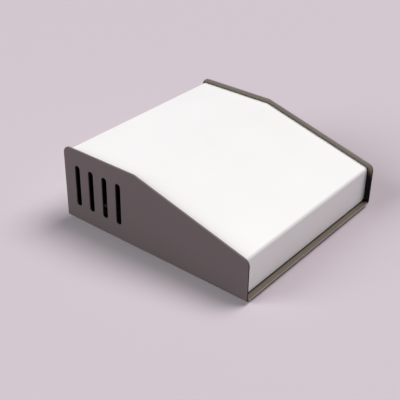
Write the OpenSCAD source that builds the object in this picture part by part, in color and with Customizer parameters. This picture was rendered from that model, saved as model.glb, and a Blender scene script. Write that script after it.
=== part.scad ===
// Sloping-front console enclosure of two folded sheets.
// A tray makes the floor and both sides, and a cover drops in between them and is screwed from below.
// Millimetres. X is the width, the front faces -Y, Z is up. The origin is on the surface that the
// feet stand on, under the middle of the case.

/* [Case] */
// Width over the outside of the two sides
case_w = 203; // [150:1:300]
// Depth of the floor and the sides, front to rear
case_d = 208; // [180:1:320]
// Height of the sides at the rear, from the underside of the floor
rear_h = 74.8; // [60:0.1:120]
// Height of the sides at the front, from the underside of the floor
front_h = 41.1; // [30:0.1:55]
// Length of the level top edge of the sides, rear edge to knee
level_l = 85.5; // [60:0.5:110]
// Rounding of the sides' upper corners at the rear
rear_corner_r = 7.5; // [1:0.5:10]
// Rounding of the sides' upper corners at the front
front_corner_r = 6.5; // [1:0.5:8]

/* [Sheet] */
// Thickness of the sheet that both halves are folded from
sheet = 1.6; // [1:0.1:2.5]
// Inside radius of the folds between the floor and the sides
tray_fold_r = 1.6; // [0.2:0.1:4]
// Inside radius of the cover's folds at the front, the knee and the rear of its top
cover_fold_r = 1.6; // [0.4:0.1:6]
// Inside radius of the folds into the cover's two flanges
flange_fold_r = 0.2; // [0.2:0.1:2]

/* [Cover] */
// Height of the sides above the cover, measured square to the cover
lip_h = 4.5; // [2:0.1:10]
// Distance of the front wall behind the front edge of the floor
front_setback = 5.4; // [2:0.1:15]
// Distance of the rear wall ahead of the rear edge of the floor
rear_setback = 1.7; // [1:0.1:12]
// Gap between each edge of the cover and the side next to it
side_gap = 0.4; // [0.1:0.05:1]
// Depth of the flanges that lie on the floor, over the wall's outer face
flange_l = 28; // [24:0.5:40]
// Gap between the flanges and the floor
seat_gap = 0.1; // [0.05:0.05:0.5]
// Room between the cover's lower corners and the tray's folds
fold_room = 0.3; // [0.1:0.05:1]

/* [Vents] */
// Vent slots in each side
vent_n = 4; // [1:1:6]
// Width of a vent slot
vent_w = 6; // [4.5:0.1:8]
// Length of a vent slot, end to end
vent_l = 41.8; // [20:0.1:42]
// Distance from one vent slot to the next
vent_pitch = 16.6; // [10:0.1:18]
// Distance of the first vent slot's middle from the rear edge of the side
vent_inset = 16.3; // [12:0.1:25]
// Height of the vent slots' lower ends above the underside of the floor
vent_z = 16.9; // [10:0.1:22]

/* [Fastening] */
// Distance of the screws from the outer face of the side
screw_inset_x = 31.5; // [24:0.5:60]
// Distance of the screws from the outer face of the front or rear wall
screw_inset_y = 18; // [12:0.5:20]
// Outside diameter of the screw's thread
screw_d = 3.5; // [2.5:0.1:4]
// Diameter of the screw's head
head_d = 6.8; // [6:0.1:8]
// Height of the screw's head
head_h = 2.1; // [1.6:0.1:2.5]
// Height of the upright rim of the screw's head, under its dome
head_rim_h = 1.1; // [0.4:0.1:1.4]
// Length of screw that shows above its nut
screw_end = 1; // [0.2:0.1:4]
// Length of the screw's cross recess, tip to tip
recess_l = 3.8; // [2.5:0.1:5]
// Width of one bar of the cross recess
recess_w = 0.9; // [0.5:0.1:1.2]
// Depth of the cross recess
recess_h = 1.2; // [0.5:0.1:1.5]
// Room round the screw in its hole through the floor
hole_room = 0.4; // [0.1:0.05:1]
// Room round the screw's thread in its nut
thread_room = 0.05; // [0.02:0.01:0.2]
// Diameter of the nut's body
nut_d = 7.9; // [7:0.1:10]
// Height of the nut's body above the flange
nut_h = 2.4; // [1.5:0.1:4]
// Bevel round the top of the nut's body
nut_bevel = 0.4; // [0.1:0.05:0.8]
// Thickness of the nut's collar in the flange, round its thread
collar_t = 0.75; // [0.4:0.05:1]
// Distance of the collar's end above the flange's lower face
collar_end = 0.2; // [0:0.05:0.4]
// Room round the collar in the flange's hole
collar_room = 0.05; // [0.02:0.01:0.2]

/* [Feet] */
// Diameter of a foot where it is stuck to the floor
foot_d = 12.7; // [9:0.1:20]
// Diameter of a foot's flat lower face, before its rim is rounded
foot_low_d = 11; // [7:0.1:18]
// Height of a foot
foot_h = 3.2; // [2.6:0.1:8]
// Rounding of a foot's lower rim
foot_rim_r = 0.8; // [0.2:0.1:1.2]
// Distance of a foot's middle from the outer face of the side
foot_inset_x = 16; // [12:0.5:24]
// Distance of a foot's middle from the front or rear edge of the floor
foot_inset_y = 13; // [12:0.5:16]

/* [Hidden] */
$fn = 64;

TRAY_GREY = [0.40, 0.36, 0.35];
COVER_WHITE = [0.94, 0.94, 0.92];
BRIGHT_STEEL = [0.75, 0.75, 0.74];
FOOT_BLACK = [0.09, 0.09, 0.09];

// How far a cut runs on past the faces that it opens into
over = 1;
// How far the arc of a rounded corner bulges past its two flats, so that they cross and don't just touch
bulge = 0.002;

// Levels: the floor's two faces, the flanges' two faces, the top of the sides and the top of the cover
floor_z = foot_h;
deck_z = floor_z + sheet;
flange_z = deck_z + seat_gap;
flange_top_z = flange_z + sheet;
side_top_z = floor_z + rear_h;
side_front_z = floor_z + front_h;
cover_top_z = side_top_z - lip_h;

// Stations from front to rear
front_y = -case_d / 2;
rear_y = case_d / 2;
knee_y = rear_y - level_l;
front_wall_y = front_y + front_setback;
rear_wall_y = rear_y - rear_setback;
screw_ys = [front_wall_y + screw_inset_y, rear_wall_y - screw_inset_y];

// The sloping edge of the sides, and the cover's panel that runs lip_h below it, square to it
slope_a = atan2(rear_h - front_h, case_d - level_l);
cover_knee_y = knee_y + lip_h * tan(slope_a / 2);
cover_front_z = cover_top_z - (cover_knee_y - front_wall_y) * tan(slope_a);

// Across the width
screw_x = case_w / 2 - screw_inset_x;
cover_w = case_w - 2 * (sheet + side_gap);
relief_x = case_w / 2 - sheet - tray_fold_r - fold_room;
relief_z = deck_z + tray_fold_r + fold_room;

// Hardware
screw_l = flange_top_z - floor_z + nut_h + screw_end;
thread_hole_d = screw_d + 2 * thread_room;
collar_d = thread_hole_d + 2 * collar_t;
collar_l = sheet - collar_end;

// Outlines, anticlockwise, each with the radius of its corners
side_path = [
    [front_y, floor_z], [rear_y, floor_z], [rear_y, side_top_z],
    [knee_y, side_top_z], [front_y, side_front_z]
];
side_radii = [0, 0, rear_corner_r, 0, front_corner_r];

// The tray's section is drawn closed, with its top sheet above the sides, where their outline cuts it off
tray_path = [
    [-case_w / 2, floor_z], [case_w / 2, floor_z],
    [case_w / 2, side_top_z + sheet + over], [-case_w / 2, side_top_z + sheet + over]
];
tray_radii = [tray_fold_r + sheet, tray_fold_r + sheet, 0, 0];

// The cover's section is drawn closed, and then opened between its two flanges
cover_path = [
    [front_wall_y, flange_z], [rear_wall_y, flange_z], [rear_wall_y, cover_top_z],
    [cover_knee_y, cover_top_z], [front_wall_y, cover_front_z]
];
cover_radii = [
    flange_fold_r + sheet, flange_fold_r + sheet, cover_fold_r + sheet,
    cover_fold_r + sheet, cover_fold_r + sheet
];

// Direction from one point to another, and the direction a quarter turn to its left
function heading(a, b) = (b - a) / norm(b - a);
function to_left(v) = [-v.y, v.x];

// Directions of the edges of a closed path that end and start at point i
function edge_in(path, i) = heading(path[(i + len(path) - 1) % len(path)], path[i]);
function edge_out(path, i) = heading(path[i], path[(i + 1) % len(path)]);

// Length that a corner of radius r takes from each of its edges, and its arc's two ends and middle
function corner_l(path, i, r) = r * tan(acos(edge_in(path, i) * edge_out(path, i)) / 2);
function corner_start(path, i, r) = path[i] - edge_in(path, i) * corner_l(path, i, r);
function corner_end(path, i, r) = path[i] + edge_out(path, i) * corner_l(path, i, r);
function corner_middle(path, i, r) = corner_start(path, i, r) + to_left(edge_in(path, i)) * r;

// Path that runs the distance d inside a closed path
function inset(path, d) = [
    for (i = [0 : len(path) - 1])
        let (a = edge_in(path, i), b = edge_out(path, i))
            path[i] + (to_left(a) + to_left(b)) * d / (1 + a * b)
];

// Area inside a closed path, with each corner rounded to its radius
module rounded_area(path, radii) {
    polygon([
        for (i = [0 : len(path) - 1])
            each radii[i] == 0 ? [path[i]]
                : [corner_start(path, i, radii[i]), corner_end(path, i, radii[i])]
    ]);
    for (i = [0 : len(path) - 1])
        if (radii[i] > 0) translate(corner_middle(path, i, radii[i])) circle(radii[i] + bulge);
}

// Closed section of a folded sheet, whose outer face follows a path
module folded_section(path, radii) {
    difference() {
        rounded_area(path, radii);
        rounded_area(inset(path, sheet), [for (r = radii) max(r - sheet, 0)]);
    }
}

// Turns a section drawn in X and Z along the depth, and one drawn in Y and Z across the width
module along_depth(length) { rotate([90, 0, 0]) linear_extrude(length, center = true) children(); }
module across_width(length) { rotate([90, 0, 90]) linear_extrude(length, center = true) children(); }

// Upright slot with half-round ends, standing on the origin
module vent_slot() {
    r = vent_w / 2;
    translate([-r, r]) square([vent_w, vent_l - vent_w]);
    for (end = [0, 1]) translate([0, r + end * (vent_l - vent_w)]) intersection() {
        circle(r);
        translate([-r - over, end == 0 ? -r - over : 0]) square([vent_w + 2 * over, r + over]);
    }
}

module vents() {
    across_width(case_w + 2 * over)
        for (i = [0 : vent_n - 1])
            translate([rear_y - vent_inset - i * vent_pitch, floor_z + vent_z]) vent_slot();
}

// Puts its children on the axis of each cover screw, at the height z
module at_screws(z) {
    for (x = [-screw_x, screw_x], y = screw_ys) translate([x, y, z]) children();
}

module base_tray() {
    color(TRAY_GREY) difference() {
        intersection() {
            along_depth(case_d) folded_section(tray_path, tray_radii);
            across_width(case_w + 2 * over) rounded_area(side_path, side_radii);
        }
        vents();
        at_screws(floor_z - over) cylinder(d = screw_d + 2 * hole_room, h = sheet + 2 * over);
    }
}

// Relief at a lower corner of the cover, which clears the tray's fold over the whole depth
module corner_relief() {
    translate([relief_x, front_y, floor_z])
        cube([case_w / 2 - relief_x, case_d, relief_z - floor_z]);
}

// Section of the cover, open between the ends of its flanges
module cover_section() {
    opening_l = rear_wall_y - front_wall_y - 2 * flange_l;
    difference() {
        folded_section(cover_path, cover_radii);
        translate([front_wall_y + flange_l, flange_z - over]) square([opening_l, sheet + 2 * over]);
    }
}

module cover() {
    color(COVER_WHITE) difference() {
        across_width(cover_w) cover_section();
        corner_relief();
        mirror([1, 0, 0]) corner_relief();
        at_screws(flange_z - over) cylinder(d = collar_d + 2 * collar_room, h = sheet + 2 * over);
    }
}

// Pan-head screw, seated at z = 0 with its thread up
module screw() {
    head_r = head_d / 2;
    dome_h = head_h - head_rim_h;
    dome_r = (head_r * head_r + dome_h * dome_h) / (2 * dome_h);
    difference() {
        union() {
            cylinder(d = screw_d, h = screw_l);
            rotate_extrude() intersection() {
                translate([0, -head_h]) square([head_r, head_h]);
                translate([0, dome_r - head_h]) circle(dome_r);
            }
        }
        for (a = [0, 90]) rotate(a) translate([-recess_l / 2, -recess_w / 2, -head_h - over])
            cube([recess_l, recess_w, recess_h + over]);
    }
}

module cover_screws() {
    color(BRIGHT_STEEL) at_screws(floor_z) screw();
}

// Clinch nut, seated at z = 0 with its collar down in the flange
module clinch_nut() {
    difference() {
        rotate_extrude() polygon([
            [0, -collar_l], [collar_d / 2, -collar_l], [collar_d / 2, 0], [nut_d / 2, 0],
            [nut_d / 2, nut_h - nut_bevel], [nut_d / 2 - nut_bevel, nut_h], [0, nut_h]
        ]);
        translate([0, 0, -collar_l - over]) cylinder(d = thread_hole_d, h = collar_l + nut_h + 2 * over);
    }
}

module clinch_nuts() {
    color(BRIGHT_STEEL) at_screws(flange_top_z) clinch_nut();
}

// Rubber foot, a low cone with a rounded lower rim; right and rear are -1 or 1
module foot(right, rear) {
    x = right * (case_w / 2 - foot_inset_x);
    y = rear * (case_d / 2 - foot_inset_y);
    color(FOOT_BLACK) translate([x, y, 0]) rotate_extrude() {
        polygon([
            [0, 0], [foot_low_d / 2 - foot_rim_r, 0], [foot_low_d / 2 - foot_rim_r, foot_rim_r],
            [foot_low_d / 2, foot_rim_r], [foot_d / 2, foot_h], [0, foot_h]
        ]);
        intersection() {
            translate([foot_low_d / 2 - foot_rim_r, foot_rim_r]) circle(foot_rim_r);
            translate([foot_low_d / 2 - foot_rim_r, 0]) square([foot_rim_r + over, foot_rim_r]);
        }
    }
}

module foot_front_left() { foot(-1, -1); }
module foot_front_right() { foot(1, -1); }
module foot_rear_left() { foot(-1, 1); }
module foot_rear_right() { foot(1, 1); }

base_tray();
cover();
cover_screws();
clinch_nuts();
foot_front_left();
foot_front_right();
foot_rear_left();
foot_rear_right();
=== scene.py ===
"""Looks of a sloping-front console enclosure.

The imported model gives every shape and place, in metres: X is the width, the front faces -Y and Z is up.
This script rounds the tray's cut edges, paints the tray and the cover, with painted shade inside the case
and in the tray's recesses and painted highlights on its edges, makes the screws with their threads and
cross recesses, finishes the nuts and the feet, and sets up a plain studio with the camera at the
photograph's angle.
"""

import logging
import math
from dataclasses import dataclass
from enum import Enum
from itertools import product
from typing import Any

import bpy
import numpy as np
from mathutils import Matrix, Vector


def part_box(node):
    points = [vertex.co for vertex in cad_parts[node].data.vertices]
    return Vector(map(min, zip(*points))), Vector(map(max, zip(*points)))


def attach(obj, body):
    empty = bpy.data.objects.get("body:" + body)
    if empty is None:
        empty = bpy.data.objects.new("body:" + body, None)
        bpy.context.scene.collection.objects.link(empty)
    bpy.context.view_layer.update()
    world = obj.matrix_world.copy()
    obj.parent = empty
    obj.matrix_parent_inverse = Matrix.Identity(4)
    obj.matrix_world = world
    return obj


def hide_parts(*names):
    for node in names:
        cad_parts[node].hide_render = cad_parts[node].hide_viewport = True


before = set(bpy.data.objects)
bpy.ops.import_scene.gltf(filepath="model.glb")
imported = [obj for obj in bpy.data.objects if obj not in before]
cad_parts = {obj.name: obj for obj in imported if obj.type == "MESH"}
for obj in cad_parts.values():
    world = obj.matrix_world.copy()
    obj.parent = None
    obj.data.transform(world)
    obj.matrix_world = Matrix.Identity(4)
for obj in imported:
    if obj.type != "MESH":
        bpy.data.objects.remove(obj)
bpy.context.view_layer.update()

TRAY_LOW, TRAY_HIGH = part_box("base_tray")
COVER_LOW, COVER_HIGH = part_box("cover")
MM = 0.001
MERGE_WITHIN = 0.001 * MM
SHARP_ANGLE = math.radians(35)
NOISE_MEAN = 0.5

log = logging.getLogger("console_enclosure")

Colour = tuple[float, float, float]
Point = tuple[float, float, float]


class Socket:
    """An output socket of a shader node, on which arithmetic adds Math nodes."""

    def __init__(self, graph: "Graph", source: bpy.types.NodeSocket) -> None:
        """Wrap one output.

        Args:
            graph: The graph that new Math nodes go into.
            source: The output socket.
        """
        self.graph = graph
        self.source = source

    def _math(self, operation: str, *values: Any) -> "Socket":
        """Add one Math node.

        Args:
            operation: The Math node's operation.
            values: Its operands in order, as sockets or numbers.

        Returns:
            The node's result.
        """
        inputs = dict(enumerate(values))
        return self.graph.node("ShaderNodeMath", {"operation": operation}, inputs)

    def __add__(self, other: Any) -> "Socket":
        """Sum."""
        return self._math("ADD", self, other)

    def __radd__(self, other: Any) -> "Socket":
        """Sum, with the number first."""
        return self._math("ADD", other, self)

    def __sub__(self, other: Any) -> "Socket":
        """Difference."""
        return self._math("SUBTRACT", self, other)

    def __rsub__(self, other: Any) -> "Socket":
        """Difference, with the number first."""
        return self._math("SUBTRACT", other, self)

    def __mul__(self, other: Any) -> "Socket":
        """Product."""
        return self._math("MULTIPLY", self, other)

    def __rmul__(self, other: Any) -> "Socket":
        """Product, with the number first."""
        return self._math("MULTIPLY", other, self)

    def __abs__(self) -> "Socket":
        """Absolute value."""
        return self._math("ABSOLUTE", self)

    def least(self, other: Any) -> "Socket":
        """Smaller of this and another value."""
        return self._math("MINIMUM", self, other)

    def either(self, other: "Socket") -> "Socket":
        """Mask of what is in this mask or in another: one less the product of what both leave out."""
        return 1 - (1 - self) * (1 - other)

    def rise(self, low: float, high: float) -> "Socket":
        """Smooth step from 0 at the low value to 1 at the high one."""
        inputs = {"Value": self, "From Min": low, "From Max": high}
        return self.graph.node("ShaderNodeMapRange", {"interpolation_type": "SMOOTHSTEP"}, inputs)


class Graph:
    """The node tree of one material, built from its principled shader backwards.

    Its x, y and z are the Object coordinates, which are the part's own, in metres.
    """

    # Places of a Mix node's colour sockets, whose names its other sockets have too.
    MIX_FACTOR = 0
    MIX_FIRST = 6
    MIX_SECOND = 7
    MIX_RESULT = 2

    def __init__(self, name: str) -> None:
        """Start a material with an output and a principled shader.

        Args:
            name: The material's name.
        """
        self.material = bpy.data.materials.new(name)
        self.material.use_nodes = True
        self.tree = self.material.node_tree
        self.tree.nodes.clear()
        self.shader = self.tree.nodes.new("ShaderNodeBsdfPrincipled")
        output = self.tree.nodes.new("ShaderNodeOutputMaterial")
        self.tree.links.new(self.shader.outputs["BSDF"], output.inputs["Surface"])
        self.place = self.node("ShaderNodeTexCoord", {}, {}, "Object")
        inputs = {"Vector": self.place}
        self.x, self.y, self.z = (self.node("ShaderNodeSeparateXYZ", {}, inputs, axis) for axis in "XYZ")

    def feed(self, target: bpy.types.NodeSocket, value: Any) -> None:
        """Link a socket, or set its own value.

        Args:
            target: The input socket.
            value: A Socket, a number, a vector or a colour.
        """
        if isinstance(value, Socket):
            self.tree.links.new(value.source, target)
        else:
            target.default_value = value

    def node(self, kind: str, settings: dict[str, Any], inputs: dict[Any, Any], output: Any = 0) -> Socket:
        """Add any node.

        Args:
            kind: The node's type name.
            settings: Its properties, set before its sockets.
            inputs: Values or links of its inputs, by name or place.
            output: Name or place of the output that is wanted.

        Returns:
            That output.
        """
        made = self.tree.nodes.new(kind)
        for key, value in settings.items():
            setattr(made, key, value)
        for key, value in inputs.items():
            self.feed(made.inputs[key], value)
        return Socket(self, made.outputs[output])

    def set(self, name: str, value: Any) -> None:
        """Feed one of the principled shader's inputs by its name."""
        self.feed(self.shader.inputs[name], value)

    def noise(self, size: float, detail: float) -> Socket:
        """Add a noise over the object.

        Args:
            size: Size of its features, in metres.
            detail: Octaves of finer noise on top.

        Returns:
            A value from 0 to 1, about NOISE_MEAN on average.
        """
        inputs = {"Vector": self.place, "Scale": 1.0 / size, "Detail": detail}
        return self.node("ShaderNodeTexNoise", {}, inputs, "Fac")

    def blend(self, factor: Socket, low: Any, high: Any) -> Socket:
        """Blend two colours.

        Args:
            factor: 0 for the first colour and 1 for the second.
            low: The first colour, linear, or a socket.
            high: The second colour, linear, or a socket.

        Returns:
            The blended colour.
        """
        first, second = (part if isinstance(part, Socket) else (*part, 1.0) for part in (low, high))
        inputs = {self.MIX_FACTOR: factor, self.MIX_FIRST: first, self.MIX_SECOND: second}
        return self.node("ShaderNodeMix", {"data_type": "RGBA"}, inputs, self.MIX_RESULT)

    def bump(self, height: Socket, depth: float) -> Socket:
        """Add a bump.

        Args:
            height: Height from 0 to 1.
            depth: The height that 1 stands for, in metres.

        Returns:
            The bumped normal.
        """
        inputs = {"Strength": 1.0, "Distance": depth, "Height": height}
        return self.node("ShaderNodeBump", {}, inputs, "Normal")


def shade(colour: Colour, factor: float) -> Colour:
    """Colour made lighter or darker by a factor."""
    return tuple(min(1.0, part * factor) for part in colour)


@dataclass(frozen=True)
class CaseOutline:
    """The case's planes, which tell a finish how deep in the case or how near its edges it is.

    Lengths are in metres and the slope is in degrees. The fold is a fold's outer radius. A mask of inner
    faces starts at the skin's depth behind the outer face and is full at the core's.
    """

    half_width: float = TRAY_HIGH.x
    half_depth: float = TRAY_HIGH.y
    floor_z: float = TRAY_LOW.z
    side_top_z: float = TRAY_HIGH.z
    lip: float = TRAY_HIGH.z - COVER_HIGH.z
    front_wall_y: float = COVER_LOW.y
    rear_wall_y: float = COVER_HIGH.y
    knee_y: float = 18.5 * MM
    slope: float = 15.38
    sheet: float = 1.6 * MM
    fold: float = 3.2 * MM
    skin: float = 1.0 * MM
    core: float = 1.5 * MM

    def below_edge(self, graph: Graph, lip: float) -> Socket:
        """Depth below the sides' upper edge, or below a line that runs under it.

        The edge is level to the knee and then slopes, so the depth is the least of the two depths,
        each measured square to its own line.

        Args:
            graph: The material's graph.
            lip: Distance of the line below the edge.

        Returns:
            The depth, in metres.
        """
        sine, cosine = math.sin(math.radians(self.slope)), math.cos(math.radians(self.slope))
        level = (self.side_top_z - lip) - graph.z
        slope = (graph.y - self.knee_y) * sine + (self.side_top_z - graph.z) * cosine - lip
        return level.least(slope)

    def depth_in_cover(self, graph: Graph) -> Socket:
        """Depth behind the cover's outer face: the least of those from its top, its panel and its walls."""
        walls = (graph.y - self.front_wall_y).least(self.rear_wall_y - graph.y)
        return self.below_edge(graph, self.lip).least(walls)

    def depth_in_tray(self, graph: Graph) -> Socket:
        """Depth behind the tray's outer face: the least of those from its two sides and its floor."""
        return (self.half_width - abs(graph.x)).least(graph.z - self.floor_z)

    def inside_cover(self, graph: Graph) -> Socket:
        """Mask of the cover's inner faces."""
        return self.depth_in_cover(graph).rise(self.skin, self.core)

    def inside_tray(self, graph: Graph) -> Socket:
        """Mask of the tray's inner faces."""
        return self.depth_in_tray(graph).rise(self.skin, self.core)

    def in_sides(self, graph: Graph) -> Socket:
        """Mask of the two sides, which fades out over the folds to the floor."""
        return abs(graph.x).rise(self.half_width - self.fold, self.half_width - self.sheet)

    def from_ends(self, graph: Graph) -> Socket:
        """Distance from the tray's front and rear edges, whichever is nearer."""
        return self.half_depth - abs(graph.y)


@dataclass(frozen=True)
class PaintFinish:
    """Baked satin paint: faint clouds, fine grain and the ripple of sprayed paint, over a near-black primer
    that paints the shade inside the case.
    """

    name: str
    colour: Colour
    roughness: float
    gloss: float
    # Near black: a dark primer on the inner faces that also paints the shade inside the closed case, and in
    # the tray the painted shade of its creases, recesses and end edges.
    primer_and_shade: Colour = (0.012, 0.011, 0.011)
    primer_roughness: float = 0.4
    cloud_size: float = 55 * MM
    cloud_detail: float = 4.0
    cloud_depth: float = 0.03
    cloud_roughness: float = 0.06
    grain_size: float = 0.35 * MM
    grain_detail: float = 2.0
    grain_share: float = 0.25
    grain_roughness: float = 0.04
    ripple_size: float = 1.6 * MM
    ripple_detail: float = 1.0
    ripple_depth: float = 0.010 * MM
    ripple_grain: float = 0.2

    def inside(self, graph: Graph) -> Socket:
        """Mask of the sheet's inner face, which is near black: primer, and painted shade for the inside of
        the closed case.
        """
        return CaseOutline().inside_cover(graph)

    def coat(self, graph: Graph, mottle: Socket, colour: Colour) -> Socket:
        """Paint colour, a little darker and lighter in places."""
        return graph.blend(mottle, shade(colour, 1 - self.cloud_depth), shade(colour, 1 + self.cloud_depth))

    def face(self, graph: Graph, mottle: Socket) -> Socket:
        """Colour of the painted faces."""
        return self.coat(graph, mottle, self.colour)

    def make(self) -> bpy.types.Material:
        """Build the material.

        Returns:
            The material.
        """
        graph = Graph(self.name)
        cloud = graph.noise(self.cloud_size, self.cloud_detail)
        grain = graph.noise(self.grain_size, self.grain_detail)
        ripple = graph.noise(self.ripple_size, self.ripple_detail)
        inside = self.inside(graph)
        mottle = cloud * (1 - self.grain_share) + grain * self.grain_share
        height = ripple * (1 - self.ripple_grain) + grain * self.ripple_grain
        smoothest = self.roughness - NOISE_MEAN * (self.cloud_roughness + self.grain_roughness)
        uneven = cloud * self.cloud_roughness + grain * self.grain_roughness
        # The near black where the mask is paints the shade inside the case, and in the tray also in its
        # creases, recesses and end edges.
        graph.set("Base Color", graph.blend(inside, self.face(graph, mottle), self.primer_and_shade))
        graph.set("Roughness", smoothest + uneven + inside * self.primer_roughness)
        graph.set("Specular IOR Level", self.gloss)
        graph.set("Normal", graph.bump(height, self.ripple_depth))
        return graph.material


@dataclass(frozen=True)
class TrayPaint(PaintFinish):
    """The tray's paint, lighter and warmer on the inner faces, which is partly painted light, with painted
    shade in its recesses and painted highlights on its cut edges.

    The inner faces are near black where the cover hides them, a primer that paints the shade inside the
    case. The near black goes on as painted shade into the creases beside the cover, and down the sides in
    front of it as far as their end edges. The creases' painted shade reaches out from the cover's outer
    face, and the overlap in behind it. The recess's painted shade is measured down from that face's line,
    and the edge band from a cut edge. The painted shade of the end edges comes in over the fade, from the
    side's outer face inwards.
    """

    # Lighter and warmer than the outer grey: partly painted light, for the warm light that the white cover
    # throws onto the inner faces.
    inner: Colour = (0.137, 0.113, 0.083)
    # Light colour that paints the highlights on the cut edges and the light on the lips.
    highlight_colour: Colour = (0.30, 0.275, 0.27)
    # Reach of the painted shade in the creases and the recesses.
    crease_shade: float = 1.0 * MM
    overlap: float = 0.2 * MM
    recess_shade_start: float = -2.0 * MM
    recess_shade_end: float = 9.0 * MM
    # Edge band and strengths of the painted highlights and of the painted light on the lips.
    edge_band_start: float = 0.12 * MM
    edge_band_end: float = 0.32 * MM
    top_highlight: float = 0.27
    lip_light: float = 0.2
    # Strength and fade of the painted shade on the sides' end edges.
    end_edge_shade_strength: float = 0.95
    end_fade: float = 0.6 * MM

    def near(self, distance: Socket) -> Socket:
        """Mask of what is close to an edge, by the distance from it."""
        return 1 - distance.rise(self.edge_band_start, self.edge_band_end)

    def inside(self, graph: Graph) -> Socket:
        """Mask of the near black: primer on the inner faces, and painted shade in the creases, the recesses
        and on the sides' end edges.

        Args:
            graph: The material's graph.

        Returns:
            The mask.
        """
        outline = CaseOutline()
        sides = outline.in_sides(graph)
        # Near black under the cover, and painted shade out into the creases beside it.
        covered_and_crease_shade = outline.depth_in_cover(graph).rise(-self.crease_shade, self.overlap)
        # Painted shade on the sides' inner faces below the lip, in front of the cover.
        recess = outline.below_edge(graph, outline.lip).rise(self.recess_shade_start, self.recess_shade_end)
        inner_primer_and_shade = covered_and_crease_shade.either(recess * sides) * outline.inside_tray(graph)
        # Painted shade on the sides' end edges.
        end_edge_shade = outline.depth_in_tray(graph).rise(0.0, self.end_fade) * self.end_edge_shade_strength
        return inner_primer_and_shade.either(self.near(outline.from_ends(graph)) * sides * end_edge_shade)

    def highlight_share(self, graph: Graph) -> Socket:
        """Share of painted highlight: some on the sides' upper edges, painted light on the lips, and all on
        the floor's end edges.

        Args:
            graph: The material's graph.

        Returns:
            The share, which is 0 away from the edges and the lips.
        """
        outline = CaseOutline()
        below = outline.below_edge(graph, 0.0)
        # Painted light on the lips' inner faces.
        lip = (1 - below.rise(0.0, outline.lip)) * outline.inside_tray(graph)
        ends = self.near(outline.from_ends(graph)) * (1 - outline.in_sides(graph))
        # Painted highlights on the upper edges and on the floor's end edges.
        return self.near(below) * self.top_highlight + lip * self.lip_light + ends

    def face(self, graph: Graph, mottle: Socket) -> Socket:
        """Colour of the painted faces, from the outer to the inner ones, and of the painted highlights on
        the edges.

        Args:
            graph: The material's graph.
            mottle: Noise that makes the paint darker and lighter and the highlights uneven.

        Returns:
            The colour.
        """
        inner = CaseOutline().inside_tray(graph)
        colours = (self.colour, self.inner, self.highlight_colour)
        outside, inside, highlight_colour = (self.coat(graph, mottle, colour) for colour in colours)
        # Painted highlights and light, uneven with the mottle.
        share = self.highlight_share(graph) * (1 - NOISE_MEAN + mottle)
        return graph.blend(share, graph.blend(inner, outside, inside), highlight_colour)


@dataclass(frozen=True)
class RubberFinish:
    """Moulded black rubber with a dry, faintly dusty face."""

    name: str
    colour: Colour
    dust: Colour
    roughness: float
    dust_size: float = 4 * MM
    dust_detail: float = 4.0
    dust_share: float = 0.5
    dust_roughness: float = 0.15
    grain_size: float = 0.5 * MM
    grain_detail: float = 2.0
    grain_depth: float = 0.02 * MM

    def make(self) -> bpy.types.Material:
        """Build the material.

        Returns:
            The material.
        """
        graph = Graph(self.name)
        dust = graph.noise(self.dust_size, self.dust_detail)
        grain = graph.noise(self.grain_size, self.grain_detail)
        graph.set("Base Color", graph.blend(dust * self.dust_share, self.colour, self.dust))
        graph.set("Roughness", self.roughness + dust * self.dust_roughness)
        graph.set("Normal", graph.bump(grain, self.grain_depth))
        return graph.material


@dataclass(frozen=True)
class PlatedFinish:
    """Bright zinc plate on steel, a little uneven in colour and gloss."""

    name: str
    colour: Colour
    tarnish: Colour
    roughness: float
    patch_size: float = 2.5 * MM
    patch_detail: float = 3.0
    patch_roughness: float = 0.15
    grain_size: float = 0.3 * MM
    grain_detail: float = 1.0
    grain_depth: float = 0.004 * MM

    def make(self) -> bpy.types.Material:
        """Build the material.

        Returns:
            The material.
        """
        graph = Graph(self.name)
        patch = graph.noise(self.patch_size, self.patch_detail)
        grain = graph.noise(self.grain_size, self.grain_detail)
        graph.set("Base Color", graph.blend(patch, self.tarnish, self.colour))
        graph.set("Metallic", 1.0)
        graph.set("Roughness", self.roughness + patch * self.patch_roughness)
        graph.set("Normal", graph.bump(grain, self.grain_depth))
        return graph.material


class Finish(Enum):
    """The finishes of the case."""

    TRAY = TrayPaint("tray_grey_paint", (0.109, 0.086, 0.090), roughness=0.5, gloss=0.25)
    COVER = PaintFinish("cover_white_paint", (0.83, 0.834, 0.826), roughness=0.42, gloss=0.5)
    RUBBER = RubberFinish("foot_rubber", (0.015, 0.015, 0.015), dust=(0.05, 0.048, 0.045), roughness=0.7)
    PLATE = PlatedFinish("zinc_plate", (0.84, 0.84, 0.82), tarnish=(0.70, 0.69, 0.66), roughness=0.36)


Materials = dict[Finish, bpy.types.Material]


def dress(piece: bpy.types.Object, material: bpy.types.Material) -> None:
    """Give a piece its one material and report it.

    Args:
        piece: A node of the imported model, or a new piece.
        material: Its material.
    """
    piece.data.materials.clear()
    piece.data.materials.append(material)
    log.info("%s: %s", piece.name, material.name)


def round_edges(piece: bpy.types.Object, radius: float, segments: int = 3) -> None:
    """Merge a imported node's loose triangles and round its sharp edges, with modifiers.

    Args:
        piece: The node's object.
        radius: Radius of the rounding, in metres.
        segments: Faces across the rounding.
    """
    weld = piece.modifiers.new("merge", "WELD")
    weld.merge_threshold = MERGE_WITHIN
    bevel = piece.modifiers.new("edges", "BEVEL")
    bevel.width = radius
    bevel.segments = segments
    bevel.limit_method = "ANGLE"
    bevel.angle_limit = SHARP_ANGLE
    bevel.use_clamp_overlap = False
    bevel.loop_slide = False
    bevel.harden_normals = True


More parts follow.
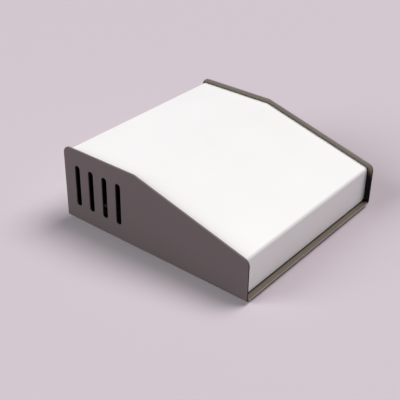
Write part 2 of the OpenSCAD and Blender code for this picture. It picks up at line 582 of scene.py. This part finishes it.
def revolved_faces(rings: int, columns: int) -> tuple[np.ndarray, np.ndarray]:
    """Faces of a closed surface of rings, whose two end points follow the rings in the list of points.

    Each quad joins two columns of two rings, and the last column joins the first one. A fan of
    triangles closes each end.

    Args:
        rings: Number of rings.
        columns: Points in a ring.

    Returns:
        The quads and the triangles, which face outwards.
    """
    column = np.arange(columns)
    following = (column + 1) % columns
    ring = np.arange(rings - 1)[:, None] * columns
    corners = (ring + column, ring + following, ring + columns + following, ring + columns + column)
    quads = np.stack(corners, axis=-1).reshape(-1, 4)
    last = (rings - 1) * columns
    first_end = np.full(columns, rings * columns)
    caps = (
        np.stack((first_end, following, column), axis=-1),
        np.stack((last + column, last + following, first_end + 1), axis=-1),
    )
    return quads, np.concatenate(caps)


def new_piece(name: str, points: np.ndarray, faces: list[list[int]]) -> bpy.types.Object:
    """Make an object at the origin from points and faces, smooth but for its sharp edges.

    Args:
        name: The piece's name.
        points: Points, in metres.
        faces: Each face's points, by number.

    Returns:
        The object.
    """
    mesh = bpy.data.meshes.new(name)
    mesh.from_pydata(points.tolist(), [], faces)
    mesh.polygons.foreach_set("use_smooth", np.ones(len(faces), dtype=bool))
    mesh.set_sharp_from_angle(angle=SHARP_ANGLE)
    piece = bpy.data.objects.new(name, mesh)
    bpy.context.scene.collection.objects.link(piece)
    return piece


@dataclass
class PackedPieces:
    """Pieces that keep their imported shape, with their sharp edges rounded where they have a radius."""

    nodes: tuple[str, ...]
    finish: Finish
    edge_radius: float = 0.0

    def dress(self, materials: Materials) -> None:
        """Round the edges of each piece and give it its finish.

        Args:
            materials: The material of each finish.
        """
        for node in self.nodes:
            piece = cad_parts[node]
            if self.edge_radius:
                round_edges(piece, self.edge_radius)
            dress(piece, materials[self.finish])


@dataclass
class BaseTray(PackedPieces):
    """The folded floor and sides, with the edges that cutting and painting rounded."""

    nodes: tuple[str, ...] = ("base_tray",)
    finish: Finish = Finish.TRAY
    edge_radius: float = 0.2 * MM


@dataclass
class Cover(PackedPieces):
    """The folded cover, whose cut edges stand in the narrow gaps beside the tray and stay sharp."""

    nodes: tuple[str, ...] = ("cover",)
    finish: Finish = Finish.COVER


@dataclass
class ClinchNuts(PackedPieces):
    """The nuts that are pressed into the cover's flanges, with their edges broken."""

    nodes: tuple[str, ...] = ("clinch_nuts",)
    finish: Finish = Finish.PLATE
    edge_radius: float = 0.1 * MM


@dataclass
class Feet(PackedPieces):
    """The four rubber feet, with the edge at the floor broken."""

    nodes: tuple[str, ...] = tuple(
        f"foot_{end}_{side}" for end, side in product(("front", "rear"), ("left", "right"))
    )
    finish: Finish = Finish.RUBBER
    edge_radius: float = 0.15 * MM


@dataclass
class CoverScrews:
    """The four pan-head screws under the floor, with rolled threads and cross recesses.

    One screw is one closed surface, carried round its axis from the middle of its head to its tip:
    each ring is a row of a grid of heights and radii, whose other parameter is the angle.
    """

    node: str = "cover_screws"
    slot: str = "bright_steel"
    finish: Finish = Finish.PLATE
    head_diameter: float = 6.8 * MM
    head_height: float = 2.1 * MM
    rim_height: float = 1.1 * MM
    rim_round: float = 0.15 * MM
    thread_diameter: float = 3.5 * MM
    thread_pitch: float = 0.6 * MM
    thread_depth: float = 0.3 * MM
    thread_flat: float = 0.14
    tip_bevel: float = 0.45 * MM
    recess_length: float = 3.8 * MM
    recess_width: float = 0.9 * MM
    recess_depth: float = 1.2 * MM
    recess_draft: float = 0.22 * MM
    columns: int = 128
    dome_rows: int = 44
    rim_rows: int = 5
    thread_rows: int = 96

    def _head(self, angle: np.ndarray) -> np.ndarray:
        """Points of the head, from the rings of its dome over its rim to the thread.

        The dome is a part of a sphere over the rim. In the cross, the height goes to that of the
        recess's flat bottom, by a share that rises from 0 to 1 over the draft of its walls. An arc that
        touches the sphere and the rim rounds the edge between them, and a quarter circle the edge at
        the seat.

        Args:
            angle: Angles of the columns.

        Returns:
            Points by ring and column, with the seat at height 0 and the head below it.
        """
        edge = self.head_diameter / 2
        dome = self.head_height - self.rim_height
        sphere = (edge**2 + dome**2) / (2 * dome)
        reach = (edge - self.rim_round) / (1 - self.rim_round / sphere)
        radius = np.linspace(reach / self.dome_rows, reach, self.dome_rows)[:, None]
        x, y = radius * np.cos(angle), radius * np.sin(angle)
        height = sphere - self.head_height - np.sqrt(sphere**2 - x**2 - y**2)
        start = np.arcsin(reach / sphere)
        middle = height[-1, 0] + self.rim_round * np.cos(start)
        cross = np.maximum(self._bar(x, y), self._bar(y, x))
        height = height + cross * (self.recess_depth - self.head_height - height)
        lower = np.linspace(start, np.pi / 2, self.rim_rows)[1:, None]
        upper = np.linspace(0, np.pi / 2, self.rim_rows)[:, None]
        sides = edge - self.rim_round + self.rim_round * np.sin(lower)
        shoulder = edge - self.rim_round + self.rim_round * np.cos(upper)
        rings = (
            np.stack((x, y, height), axis=-1),
            self._rings(sides, middle - self.rim_round * np.cos(lower), angle),
            self._rings(shoulder, self.rim_round * np.sin(upper) - self.rim_round, angle),
        )
        return np.concatenate(rings)

    def _bar(self, along: np.ndarray, across: np.ndarray) -> np.ndarray:
        """Share of one bar of the cross at each point: 1 inside its drafted walls and 0 outside them."""
        ends = np.clip((self.recess_length / 2 - abs(along)) / self.recess_draft, 0, 1)
        return ends * np.clip((self.recess_width / 2 - abs(across)) / self.recess_draft, 0, 1)

    def _thread(self, length: float, angle: np.ndarray) -> np.ndarray:
        """Points of the threaded shank, from its seat to its tip.

        The radius falls from the crest by the thread's depth times a clipped triangle wave of the
        height in pitches less the angle in turns, so the groove is a helix. It deepens over the first
        pitch from the seat, and a bevel limits the radius at the tip.

        Args:
            length: Length of the shank.
            angle: Angles of the columns.

        Returns:
            Points by ring and column.
        """
        height = np.linspace(0, length, self.thread_rows)[:, None]
        turns = (height / self.thread_pitch - angle / (2 * np.pi)) % 1
        groove = np.clip((abs(2 * turns - 1) - self.thread_flat) / (1 - 2 * self.thread_flat), 0, 1)
        groove = groove * np.clip(height / self.thread_pitch, 0, 1)
        bevel = self.thread_diameter / 2 - self.tip_bevel + (length - height)
        radius = np.minimum(self.thread_diameter / 2 - self.thread_depth * groove, bevel)
        return self._rings(radius, height, angle)

    @staticmethod
    def _rings(radius: np.ndarray, height: np.ndarray, angle: np.ndarray) -> np.ndarray:
        """Points of rings round the axis, by their radii, heights and angles."""
        radius, height, angle = np.broadcast_arrays(radius, height, angle)
        return np.stack((radius * np.cos(angle), radius * np.sin(angle), height), axis=-1)

    def build(self) -> bpy.types.Object:
        """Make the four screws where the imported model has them.

        Returns:
            One object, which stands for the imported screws.
        """
        low, high = (np.array(corner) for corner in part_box(self.node))
        edge = self.head_diameter / 2
        seat = low[2] + self.head_height
        angle = np.arange(self.columns) * (2 * np.pi / self.columns)
        rings = np.concatenate((self._head(angle), self._thread(high[2] - seat, angle)))
        pole = np.array([[0, 0, self.recess_depth - self.head_height], [0, 0, high[2] - seat]])
        screw = np.concatenate((rings.reshape(-1, 3), pole))
        sides, ends = ((low[axis] + edge, high[axis] - edge) for axis in (0, 1))
        places = np.array(list(product(sides, ends, (seat,))))
        points = (places[:, None, :] + screw).reshape(-1, 3)
        quads, caps = revolved_faces(len(rings), self.columns)
        starts = np.arange(len(places))[:, None, None] * len(screw)
        faces = (quads + starts).reshape(-1, 4).tolist() + (caps + starts).reshape(-1, 3).tolist()
        return new_piece("cover_screws_threaded", points, faces)

    def dress(self, materials: Materials) -> None:
        """Build the screws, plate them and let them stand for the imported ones.

        Args:
            materials: The material of each finish.
        """
        piece = self.build()
        dress(piece, materials[self.finish])
        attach(piece, "root")
        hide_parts(self.node)


def bearing(azimuth: float, elevation: float) -> Vector:
    """Direction from the case towards a viewer.

    Args:
        azimuth: Degrees round from the front, to the case's right.
        elevation: Degrees above the floor.

    Returns:
        The direction, of length one.
    """
    a, e = math.radians(azimuth), math.radians(elevation)
    return Vector((math.sin(a) * math.cos(e), -math.cos(a) * math.cos(e), math.sin(e)))


@dataclass(frozen=True)
class Lamp:
    """A distant soft light, even over the whole floor, with its bearing and its width in degrees."""

    name: str
    azimuth: float
    elevation: float
    strength: float
    colour: Colour
    width: float = 37.0

    def build(self) -> None:
        """Make the light, which shines from its bearing."""
        data = bpy.data.lights.new(self.name, "SUN")
        data.energy = self.strength
        data.angle = math.radians(self.width)
        data.color = self.colour
        lamp = bpy.data.objects.new(self.name, data)
        lamp.rotation_euler = bearing(self.azimuth, self.elevation).to_track_quat("Z", "Y").to_euler()
        bpy.context.scene.collection.objects.link(lamp)


@dataclass
class Studio:
    """Pale floor, soft light and the camera at the photograph's angle.

    The floor's half width and the camera's place are in metres, the camera's bearing and roll in
    degrees, and its lens and sensor in millimetres.
    """

    floor_half: float = 30.0
    floor_colour: Colour = (0.53, 0.475, 0.515)
    floor_roughness: float = 0.9
    sky: Colour = (0.03, 0.03, 0.03)
    lamps: tuple[Lamp, ...] = (
        Lamp("left_light", azimuth=-122.0, elevation=28.0, strength=2.55, colour=(0.965, 1.0, 0.99)),
        Lamp("right_light", azimuth=55.0, elevation=62.5, strength=2.91, colour=(1.0, 0.95, 0.965)),
    )
    camera_place: Point = (-0.54035, -0.40044, 0.42427)
    azimuth: float = -51.701
    elevation: float = 31.465
    roll: float = 0.945
    lens: float = 74.146
    sensor: float = 36.0

    def build(self) -> None:
        """Make the floor, the lights and the camera, and show colours as they are."""
        self._floor()
        self._light()
        self._camera()
        bpy.context.scene.view_settings.view_transform = "Standard"

    def _floor(self) -> None:
        """Lay the floor under the feet."""
        half = self.floor_half
        mesh = bpy.data.meshes.new("studio_floor")
        corners = [(-half, -half, 0), (half, -half, 0), (half, half, 0), (-half, half, 0)]
        mesh.from_pydata(corners, [], [(0, 1, 2, 3)])
        graph = Graph("studio_floor_card")
        graph.set("Base Color", (*self.floor_colour, 1.0))
        graph.set("Roughness", self.floor_roughness)
        mesh.materials.append(graph.material)
        floor = bpy.data.objects.new("studio_floor", mesh)
        bpy.context.scene.collection.objects.link(floor)

    def _light(self) -> None:
        """Set an even sky and the soft lights."""
        world = bpy.data.worlds.new("studio_sky")
        world.use_nodes = True
        background = world.node_tree.nodes["Background"]
        background.inputs["Color"].default_value = (*self.sky, 1.0)
        bpy.context.scene.world = world
        for lamp in self.lamps:
            lamp.build()

    def _camera(self) -> None:
        """Set the camera by its place, its bearing and its roll."""
        a, r = math.radians(self.azimuth), math.radians(self.roll)
        back = bearing(self.azimuth, self.elevation)
        level = Vector((math.cos(a), math.sin(a), 0.0))
        upright = back.cross(level)
        right = level * math.cos(r) + upright * math.sin(r)
        up = upright * math.cos(r) - level * math.sin(r)
        data = bpy.data.cameras.new("photo_camera")
        data.lens = self.lens
        data.sensor_width = self.sensor
        camera = bpy.data.objects.new("photo_camera", data)
        turn = Matrix((right, up, back)).transposed()
        camera.matrix_world = Matrix.Translation(Vector(self.camera_place)) @ turn.to_4x4()
        bpy.context.scene.collection.objects.link(camera)
        bpy.context.scene.camera = camera


def main() -> None:
    """Dress every piece of the case and set up the studio."""
    logging.basicConfig(level=logging.INFO, format="%(name)s: %(message)s")
    materials = {finish: finish.value.make() for finish in Finish}
    BaseTray().dress(materials)
    Cover().dress(materials)
    CoverScrews().dress(materials)
    ClinchNuts().dress(materials)
    Feet().dress(materials)
    Studio().build()


if __name__ == "__main__":
    main()
